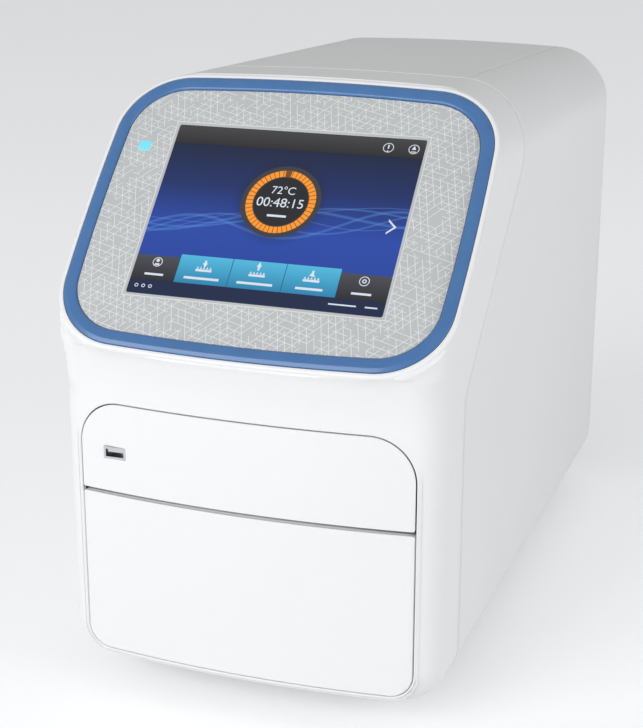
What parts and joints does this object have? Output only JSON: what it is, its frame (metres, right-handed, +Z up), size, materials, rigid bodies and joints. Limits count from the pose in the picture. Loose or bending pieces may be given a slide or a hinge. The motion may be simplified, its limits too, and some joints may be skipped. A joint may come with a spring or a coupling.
{
  "type": "real-time pcr instrument",
  "caption": "Bench real-time PCR instrument: white casing, tilted touch screen, motor drawer with well block, heated cover, filter optics, rear power inlet and fan.",
  "frame": {"origin": "on the bench under the middle of the casing's length and width", "axes": "+X to the right and +Z up seen from the front, +Y to the back"},
  "size_m": [0.27, 0.5076, 0.3971],
  "materials": {
    "white_case": "satin white",
    "white_front": "satin white",
    "grey_metal": "powder coat",
    "blue_trim": "satin metallic blue",
    "bezel_grey": "printed satin sheet",
    "screen_glass": "dark glass",
    "dark_plastic": "fine grain",
    "bare_steel": "zinc plated",
    "circuit_board": "solder mask",
    "cyan_light": "clear light pipe",
    "plated_metal": "nickel plated",
    "black_rubber": "matt",
    "black_metal": "matt black anodised",
    "mirror_coat": "front coated",
    "filter_glass": "coated glass",
    "aluminium_part": "machined",
    "motor_metal": "lacquered",
    "ceramic_white": "ceramic faced",
    "supply_case": "folded sheet"
  },
  "bodies": {
    "casing": {"front_cover": "white_case", "left_side_panel": "white_case", "right_side_panel": "white_case", "top_panel": "white_case", "base_pan": "grey_metal", "rear_panel": "grey_metal", "trim_ring": "blue_trim", "bezel_plate": "bezel_grey", "touch_glass": "screen_glass", "display_module": "dark_plastic", "display_bracket": "bare_steel", "display_board": "circuit_board", "status_light": "cyan_light", "upper_fascia": "white_front", "front_usb_socket": "plated_metal", "feet": "black_rubber", "outer_rails": "bare_steel", "frame_plates": "bare_steel", "optics_deck": "black_metal", "light_hood": "black_metal", "fold_mirror": "mirror_coat", "light_tube": "black_metal", "beam_splitter": "filter_glass", "lamp_bracket": "black_metal", "lamp_module": "aluminium_part", "wheel_motors": "motor_metal", "camera_bracket": "black_metal", "camera": "black_metal", "guide_rods": "bare_steel", "lift_belt": "black_rubber", "lift_motor": "motor_metal", "drawer_motor": "motor_metal", "exhaust_fan_frame": "dark_plastic", "power_supply": "supply_case", "main_board": "circuit_board", "rear_sockets": "plated_metal", "power_inlet": "dark_plastic"},
    "drawer": {"drawer_front": "white_front", "drawer_tray": "bare_steel", "drawer_deck": "dark_plastic", "drawer_rack": "dark_plastic", "inner_rails": "bare_steel", "sample_block": "aluminium_part", "thermal_modules": "ceramic_white", "heat_sink": "aluminium_part", "block_fan_frames": "dark_plastic"},
    "left_fan_rotor": {"left_block_fan": "dark_plastic"},
    "right_fan_rotor": {"right_block_fan": "dark_plastic"},
    "pinion": {"drive_pinion": "bare_steel"},
    "heated_cover": {"heater_plate": "aluminium_part", "cover_glass": "filter_glass", "cover_carrier": "aluminium_part"},
    "left_screw": {"left_lift_screw": "bare_steel"},
    "right_screw": {"right_lift_screw": "bare_steel"},
    "excitation_disc": {"excitation_wheel": "black_metal", "excitation_filters": "filter_glass"},
    "emission_disc": {"emission_wheel": "black_metal", "emission_filters": "filter_glass"},
    "exhaust_rotor": {"exhaust_fan": "dark_plastic"},
    "switch_rocker": {"power_rocker": "dark_plastic"}
  },
  "joints": [
    {"name": "drawer_slide", "type": "slide", "parent": "casing", "child": "drawer", "axis": [0, -1, 0], "range_m": [0, 0.19]},
    {"name": "pinion_turn", "type": "hinge", "parent": "casing", "child": "pinion", "pos_m": [0.0195, -0.19, 0.0425], "axis": [0, 0, -1], "range_deg": [0, 1040]},
    {"name": "cover_slide", "type": "slide", "parent": "casing", "child": "heated_cover", "axis": [0, 0, -1], "range_m": [0, 0.012]},
    {"name": "left_screw_turn", "type": "hinge", "parent": "casing", "child": "left_screw", "pos_m": [-0.08, -0.05, 0.16], "axis": [0, 0, 1], "range_deg": [0, 541]},
    {"name": "right_screw_turn", "type": "hinge", "parent": "casing", "child": "right_screw", "pos_m": [0.08, -0.05, 0.16], "axis": [0, 0, 1], "range_deg": [0, 541]},
    {"name": "excitation_turn", "type": "hinge", "parent": "casing", "child": "excitation_disc", "pos_m": [-0.03, 0.02, 0.2835], "axis": [0, 0, 1], "continuous": true},
    {"name": "emission_turn", "type": "hinge", "parent": "casing", "child": "emission_disc", "pos_m": [0.03, 0.0535, 0.25], "axis": [0, 1, 0], "continuous": true},
    {"name": "exhaust_turn", "type": "hinge", "parent": "casing", "child": "exhaust_rotor", "pos_m": [0.05, 0.235, 0.102], "axis": [0, 1, 0], "continuous": true},
    {"name": "left_fan_turn", "type": "hinge", "parent": "drawer", "child": "left_fan_rotor", "pos_m": [-0.026, -0.055, 0.073], "axis": [0, 1, 0], "continuous": true},
    {"name": "right_fan_turn", "type": "hinge", "parent": "drawer", "child": "right_fan_rotor", "pos_m": [0.026, -0.055, 0.073], "axis": [0, 1, 0], "continuous": true},
    {"name": "rocker_tilt", "type": "hinge", "parent": "casing", "child": "switch_rocker", "pos_m": [-0.078, 0.2508, 0.12], "axis": [1, 0, 0], "range_deg": [0, 16]}
  ],
  "couplings": [
    {"joint": "pinion_turn", "follows": "drawer_slide", "rad_per_m": 95.238},
    {"joint": "left_screw_turn", "follows": "cover_slide", "rad_per_m": 785.4},
    {"joint": "right_screw_turn", "follows": "cover_slide", "rad_per_m": 785.4}
  ]
}
